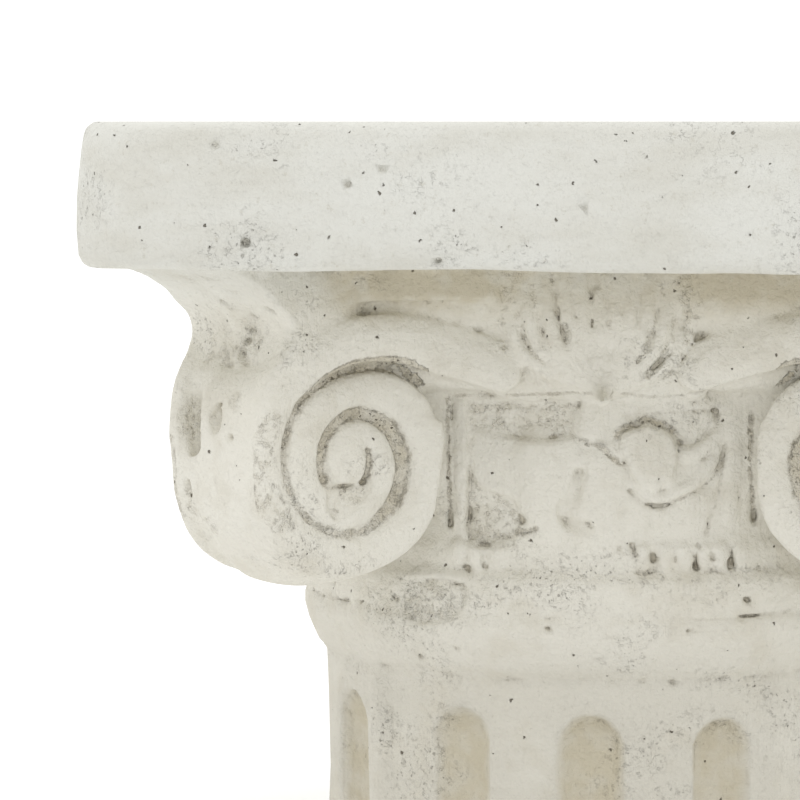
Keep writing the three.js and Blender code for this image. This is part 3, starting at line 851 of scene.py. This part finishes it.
def dirt_in_marks(marks, spots):
    """How dirty the pressed pits and the stained patches are, fading out at their rims."""
    dirt = np.zeros(len(spots), dtype=np.float32)
    x, y, drop = spots[:, 0], spots[:, 1], HEIGHT - spots[:, 2]
    for mark_x, mark_y, mark_drop, size, weight in marks:
        near = np.nonzero(np.abs(drop - mark_drop) < size)[0]
        gap = np.sqrt((x[near] - mark_x) ** 2 + (y[near] - mark_y) ** 2 + (drop[near] - mark_drop) ** 2)
        dirt[near] = np.maximum(dirt[near], weight * ramp(gap, size, 0.4 * size))
    return dirt


def seams_at(spots, casting):
    """Distance to the nearest worn edge, how strongly its painted shade line shows, and the tan stain and
    painted shade beside it, at the vertices.
    """
    drop = HEIGHT - spots[:, 2]
    x, y = fold(spots[:, 0], spots[:, 1])
    across, _, along, aside, radius = side_places(x, y)
    seam = np.full(len(spots), -SEAM_REACH, dtype=np.float32)
    clear = np.zeros(len(spots), dtype=np.float32)
    stain_and_shade = np.zeros(len(spots), dtype=np.float32)

    def take(name, where, first, second):
        for values, layer in ((seam, "seam"), (clear, "clear"), (stain_and_shade, "stain_and_shade")):
            values[where] = casting.reliefs[name].at(first[where], second[where], layer)

    take("neck", (drop > 92) & (drop < 202) & (radius < 114), across, drop)
    take("flower", (drop > SLAB_THICK + 2) & (drop < 92) & (np.abs(across) < 42), across, drop)
    flat = np.abs(aside) > scroll_half_width(along) - 4.5
    face = np.hypot(along - EYE_ALONG, drop - EYE_DROP) < 40.0
    take("scroll", flat & face & (along > 108), along - EYE_ALONG, drop - EYE_DROP)
    # the flutes' rims also get a faint painted shade line
    for bearing, top, half in casting.flute_marks:
        out = spots[:, 0] * math.sin(bearing) - spots[:, 1] * math.cos(bearing)
        side = spots[:, 0] * math.cos(bearing) + spots[:, 1] * math.sin(bearing)
        inside = half - 0.8 - np.hypot(side, np.clip(top + half - drop, 0, None))
        here = (out > 60) & (drop > 200) & (np.abs(inside) < SEAM_REACH)
        seam[here] = inside[here]
        clear[here] = 0.3 * seam_fade(inside[here])
    return {"seam": seam, "clear": clear, "stain_and_shade": stain_and_shade}


def dust_and_shade_at(spots):
    """Tan dust together with painted shade: a darker band under the slab and in the flutes, where shade
    falls.
    """
    x, y, drop = spots[:, 0], spots[:, 1], HEIGHT - spots[:, 2]
    along = (np.abs(x) + np.abs(y)) / math.sqrt(2.0)
    middle = np.minimum(np.abs(x), np.abs(y))
    under = ramp(drop, 49.0, 52.5) * ramp(drop, 74.0, 57.0) * ramp(along, 172.0, 146.0)
    under *= 0.55 + 0.45 * ramp(middle, 16.0, 42.0)
    sunk = SHAFT_RADIUS - 1.2 - np.hypot(x, y)
    flute = ramp(sunk, 0.0, 3.0) * ramp(drop, FLUTE_TOP - 6.0, FLUTE_TOP)
    return np.maximum(under, 0.85 * flute)


def casting_box(casting):
    """Keeps the casting just inside the frame's box, and flat where the shaft is cut."""
    side = np.abs(casting.axis) - (float(HIGH[0]) - BOX_MARGIN)
    level = HEIGHT - casting.drops
    flat = np.maximum(FOOT_MARGIN - level, level - (HEIGHT - BOX_MARGIN))
    return np.maximum(np.maximum(side[:, None, None], side[None, :, None]), flat[None, None, :])


# ---- finish ----

class Finish:
    """Short names for the shader nodes that the stone is put together from; lengths here are metres."""

    def __init__(self, name):
        self.material = bpy.data.materials.new(name)
        self.material.use_nodes = True
        self.nodes = self.material.node_tree.nodes
        self.links = self.material.node_tree.links
        self.shader = self.nodes["Principled BSDF"]
        self.place = self.node("TexCoord").outputs["Object"]

    def node(self, kind, inputs=None, **settings):
        """New node, each input of it set to a number or a colour, or fed by another node's output."""
        node = self.nodes.new("ShaderNode" + kind)
        for name, value in settings.items():
            setattr(node, name, value)
        for name, value in (inputs or {}).items():
            socket = node.inputs[name]
            if isinstance(value, bpy.types.NodeSocket):
                self.links.new(value, socket)
            elif isinstance(value, tuple) and len(socket.default_value) == 4:
                socket.default_value = (*value, 1.0)
            else:
                socket.default_value = value
        return node

    def mix(self, first, second, share):
        return self.node("Mix", {6: first, 7: second, 0: share}, data_type="RGBA").outputs[2]

    def span(self, value, low, high, to_low=0.0, to_high=1.0):
        inputs = {"From Min": low, "From Max": high, "To Min": to_low, "To Max": to_high, "Value": value}
        return self.node("MapRange", inputs, interpolation_type="SMOOTHSTEP").outputs["Result"]

    def math(self, kind, first, second=0.0):
        return self.node("Math", {0: first, 1: second}, operation=kind).outputs[0]

    def times(self, first, second):
        return self.math("MULTIPLY", first, second)

    def plus(self, first, second):
        return self.math("ADD", first, second)

    def away(self, value, middle):
        return self.math("ABSOLUTE", self.math("SUBTRACT", value, middle))

    def stretched(self, scale):
        return self.node("Mapping", {"Scale": scale, "Vector": self.place}).outputs["Vector"]

    def noise(self, scale, detail=4.0, rough=0.55, place=None):
        inputs = {"Scale": scale, "Detail": detail, "Roughness": rough, "Vector": place or self.place}
        return self.node("TexNoise", inputs).outputs["Fac"]

    def attribute(self, name):
        return self.node("Attribute", attribute_name=name).outputs["Fac"]

    def wobble(self, scale):
        """Place shifted by a small ragged amount, for holes with uneven rims."""
        ragged = self.node("TexNoise", {"Scale": scale, "Detail": 1.0, "Vector": self.place})
        inputs = {0: ragged.outputs["Color"], 1: (0.0015, 0.0015, 0.0015), 2: self.place}
        return self.node("VectorMath", inputs, operation="MULTIPLY_ADD").outputs[0]

    def holes(self, spacing, size, kept, shift, place):
        """Mask of scattered holes: 1 in a hole. "kept" is the share of places that have one."""
        moved = self.node("VectorMath", {0: place, 1: (shift, shift, shift)}, operation="ADD")
        cells = self.node("TexVoronoi", {"Scale": 1.0 / spacing, "Vector": moved.outputs[0]})
        pick = self.node("SeparateColor", {0: cells.outputs["Color"]})
        reach = self.times(self.span(pick.outputs[1], 0.0, 1.0, 0.5, 1.2), size / spacing)
        inside = self.math("SUBTRACT", 1.0, self.math("DIVIDE", cells.outputs["Distance"], reach))
        return self.times(self.span(inside, 0.0, 0.5), self.math("LESS_THAN", pick.outputs[0], kept))

    def bump(self, height, distance, strength):
        inputs = {"Distance": distance, "Strength": strength, "Height": height}
        return self.node("Bump", inputs).outputs["Normal"]


PALE_PASTE = (0.735, 0.732, 0.678)
GREY_PASTE = (0.665, 0.652, 0.585)
WARM_PASTE = (0.80, 0.772, 0.685)
PORE = (0.50, 0.47, 0.385)
# painted shade: the darker tone of the ring and shaft towards the foot
FOOT_SHADE = (0.61, 0.585, 0.51)
BLOTCH = (0.60, 0.56, 0.46)
# tan dust and painted shade for sheltered places, under the slab and in recesses
SHELTER_DUST_AND_SHADE = (0.60, 0.565, 0.475)
# tan dust and painted shade for the band under the slab and the flutes
TAN_DUST_AND_SHADE = (0.56, 0.51, 0.39)
# tan stain and painted shade for hollows and the low side of worn edges
TAN_STAIN_AND_SHADE = (0.54, 0.485, 0.36)
# painted shade: dark line at the foot of worn edges, where a crease shadow falls
EDGE_FOOT_SHADE = (0.26, 0.22, 0.15)
CRINKLE = (0.28, 0.24, 0.16)
HOLE = (0.11, 0.09, 0.055)


def stone_material():
    """Off-white cast stone: mottled paste; tan dust and painted shade under the slab, in the flutes and in
    sheltered places; tan stain and painted shade in hollows, with painted shade lines at the foot of worn
    edges; painted shade darker towards the foot; crinkles; air holes.
    """
    stone = Finish("cast_stone")
    stone.shader.inputs["Roughness"].default_value = 0.9
    stone.shader.inputs["Specular IOR Level"].default_value = 0.2
    hollow, shelter, dust, clear = (stone.attribute(name) for name in ("hollow", "shelter", "dust", "clear"))
    streaks = stone.noise(1.0, 4.0, 0.6, stone.stretched((14.0, 14.0, 34.0)))
    pores = stone.noise(420.0, 3.0, 0.7)
    frayed = stone.noise(300.0, 3.0, 0.7)
    clouds = stone.noise(95.0, 2.0, 0.6)
    level = stone.node("SeparateXYZ", {0: stone.place}).outputs[2]

    # streaked paste, more even on the slab's top
    even = stone.span(level, 0.2575, 0.261, 1.0, 0.4)
    mottled = stone.mix(PALE_PASTE, GREY_PASTE, stone.times(stone.span(streaks, 0.38, 0.66), even))
    mottled = stone.mix(mottled, PORE, stone.span(pores, 0.42, 0.24, 0.0, 0.4))

    # warmer below the slab, where it was brushed less; darker towards the foot, which is painted shade on the
    # ring and shaft
    warm = stone.span(level, 0.212, 0.19, 0.0, 0.75)
    foot_shade = stone.times(stone.span(level, 0.12, 0.05, 0.0, 0.8), stone.span(streaks, 0.3, 0.6, 0.7, 1.0))
    blotches = stone.times(stone.span(stone.noise(42.0, 3.0, 0.65), 0.48, 0.7, 0.0, 0.5), warm)
    mottled = stone.mix(mottled, WARM_PASTE, warm)
    mottled = stone.mix(mottled, FOOT_SHADE, foot_shade)
    mottled = stone.mix(mottled, BLOTCH, blotches)

    # tan dust and painted shade in sheltered places, and in the band under the slab and in the flutes
    dusted_and_shaded = stone.mix(mottled, SHELTER_DUST_AND_SHADE, stone.span(shelter, 0.4, 4.5, 0.0, 0.6))
    # the band under the slab and the flutes: dust and painted shade
    uneven = stone.times(dust, stone.span(clouds, 0.3, 0.65, 0.6, 1.15))
    dusted_and_shaded = stone.mix(dusted_and_shaded, TAN_DUST_AND_SHADE, stone.math("MINIMUM", uneven, 0.92))

    # tan stain and painted shade on the low side of every worn edge and in every hollow; the foot of the edge
    # gets a dark painted shade line in places
    seam = stone.plus(stone.attribute("seam"), stone.span(frayed, 0.3, 0.7, -0.35, 0.35))
    low_side = stone.plus(stone.attribute("stain_and_shade"), stone.span(frayed, 0.3, 0.7, -0.22, 0.22))
    low_side = stone.span(low_side, 0.08, 0.95)
    ragged = stone.plus(hollow, stone.span(frayed, 0.3, 0.7, -0.25, 0.25))
    sunk = stone.math("MAXIMUM", stone.span(ragged, 0.3, 1.9, 0.0, 0.8), stone.times(low_side, 0.85))
    patchy = stone.times(sunk, stone.span(clouds, 0.3, 0.62, 0.45, 1.0))
    dirt_and_shade = stone.mix(dusted_and_shaded, TAN_STAIN_AND_SHADE, stone.times(patchy, 0.75))
    # painted shade: a dark line at the foot of each worn edge
    foot = stone.times(stone.span(stone.away(seam, 0.2), 0.6, 0.0), clear)
    foot = stone.times(foot, stone.span(clouds, 0.38, 0.6))
    dirt_and_shade = stone.mix(dirt_and_shade, EDGE_FOOT_SHADE, stone.times(foot, 0.42))

    # short crinkles, thick in the hollows and scarce elsewhere
    gather = stone.noise(1.0, 2.0, 0.5, stone.stretched((24.0, 24.0, 40.0)))
    crowd = stone.plus(stone.span(gather, 0.52, 0.72, 0.05, 0.42), sunk)
    crowd = stone.plus(crowd, stone.span(shelter, 1.5, 6.0, 0.0, 0.45))
    ridges = stone.away(stone.noise(290.0, 3.0, 0.7), 0.5)
    broken = stone.span(stone.noise(330.0, 1.0), 0.5, 0.62)
    crinkle = stone.times(stone.times(stone.span(ridges, 0.018, 0.003), broken), crowd)

    # air holes: spacing, size, share kept and shift
    wobble = stone.wobble(800.0)
    few = stone.holes(0.0058, 0.00062, 0.5, 0.31, wobble)
    many = stone.times(stone.holes(0.0037, 0.0006, 0.5, 0.57, wobble), crowd)
    specks = stone.times(stone.holes(0.0017, 0.00036, 0.45, 0.13, wobble), crowd)
    pits = stone.math("MAXIMUM", few, stone.math("MAXIMUM", many, specks))
    marked = stone.mix(dirt_and_shade, CRINKLE, stone.times(crinkle, 0.27))
    marked = stone.mix(marked, HOLE, stone.times(pits, 0.85))
    stone.links.new(marked, stone.shader.inputs["Base Color"])

    # one relief for the whole skin: trowelled unevenness, brush marks, grit, edges, crinkles and holes
    coarse = stone.times(stone.noise(150.0, 4.0, 0.7), stone.span(crowd, 0.0, 1.0, 1.6, 3.4))
    brushing = stone.noise(1.0, 1.0, 0.6, stone.stretched((520.0, 520.0, 50.0)))
    fine = stone.times(stone.noise(430.0, 2.0, 0.6), stone.span(crowd, 0.0, 1.0, 0.5, 1.6))
    grit = stone.times(stone.noise(900.0, 1.0), stone.span(crowd, 0.0, 1.0, 0.35, 1.1))
    relief = stone.plus(coarse, stone.times(brushing, 0.4))
    relief = stone.plus(relief, fine)
    relief = stone.plus(relief, stone.times(grit, 0.5))
    for mark, depth in ((pits, 1.2), (crinkle, 0.9), (low_side, 0.7)):
        relief = stone.math("SUBTRACT", relief, stone.times(mark, depth))
    stone.links.new(stone.bump(relief, 0.0009, 1.0), stone.shader.inputs["Normal"])
    return stone.material


# ---- stage, light and camera ----

def grade_by_y(tree, places, socket, near, far, low, high):
    """Feed a strength by the Y of places: low up to near, and high from far on."""
    parts = tree.nodes.new("ShaderNodeSeparateXYZ")
    span = tree.nodes.new("ShaderNodeMapRange")
    for name, number in (("From Min", near), ("From Max", far), ("To Min", low), ("To Max", high)):
        span.inputs[name].default_value = number
    tree.links.new(places, parts.inputs[0])
    tree.links.new(parts.outputs["Y"], span.inputs["Value"])
    tree.links.new(span.outputs["Result"], socket)


def floor():
    """Plain white floor that also glows a little, so that it stays as white as the backdrop."""
    half = 6.0
    corners = [(-half, -half, 0), (half, -half, 0), (half, half, 0), (-half, half, 0)]
    mesh = bpy.data.meshes.new("floor")
    mesh.from_pydata(corners, [], [(0, 1, 2, 3)])
    obj = bpy.data.objects.new("floor", mesh)
    obj.location.z = float(cad_low[2])
    material = bpy.data.materials.new("floor")
    material.use_nodes = True
    tree = material.node_tree
    shader = tree.nodes["Principled BSDF"]
    shader.inputs["Base Color"].default_value = (0.8, 0.8, 0.8, 1.0)
    shader.inputs["Roughness"].default_value = 0.9
    shader.inputs["Emission Color"].default_value = (1.0, 1.0, 1.0, 1.0)
    # it glows less in front of the casting, where a studio floor lies in the room's shade
    places = tree.nodes.new("ShaderNodeTexCoord").outputs["Object"]
    grade_by_y(tree, places, shader.inputs["Emission Strength"], -0.5, 0.1, 0.12, 0.35)
    mesh.materials.append(material)
    bpy.context.collection.objects.link(obj)


def aim(obj, place, target):
    obj.location = place
    obj.rotation_euler = (Vector(target) - Vector(place)).to_track_quat("-Z", "Y").to_euler()


ROOM_LIGHT = 0.65
BACKDROP_LIGHT = 1.22
WINDOW_SIDE = 0.6
WINDOW_POWER = 4.4


def studio():
    """White backdrop behind the casting, a dimmer room behind the camera, and one soft window light."""
    world = bpy.data.worlds.new("studio")
    bpy.context.scene.world = world
    world.use_nodes = True
    tree = world.node_tree
    back = tree.nodes["Background"]
    back.inputs["Color"].default_value = (1.0, 1.0, 1.0, 1.0)
    ways = tree.nodes.new("ShaderNodeTexCoord").outputs["Generated"]
    grade_by_y(tree, ways, back.inputs["Strength"], -0.9, 0.2, ROOM_LIGHT, BACKDROP_LIGHT)

    data = bpy.data.lights.new("window", "AREA")
    data.shape = "RECTANGLE"
    data.size = WINDOW_SIDE
    data.size_y = WINDOW_SIDE
    data.energy = WINDOW_POWER
    window = bpy.data.objects.new("window", data)
    bpy.context.collection.objects.link(window)
    aim(window, (-0.1, -1.1, 1.4), (0.0, 0.0, 0.16))


CAMERA_DISTANCE = 1.5
FOCAL = 180.0
LOOK_LEFT = math.radians(2.86)
LOOK_DOWN = math.radians(3.99)


def camera():
    data = bpy.data.cameras.new("camera")
    data.lens = FOCAL
    data.sensor_width = 36.0
    data.clip_start = 0.05
    obj = bpy.data.objects.new("camera", data)
    bpy.context.collection.objects.link(obj)
    obj.location = (0.0, -CAMERA_DISTANCE, HEIGHT * MM)
    obj.rotation_euler = (math.pi / 2 - LOOK_DOWN, 0.0, LOOK_LEFT)
    bpy.context.scene.camera = obj


bpy.context.scene.view_settings.view_transform = "Standard"
camera()
studio()
floor()
casting = build_casting()
casting.data.materials.append(stone_material())
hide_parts(NODE)
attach(casting, "root")
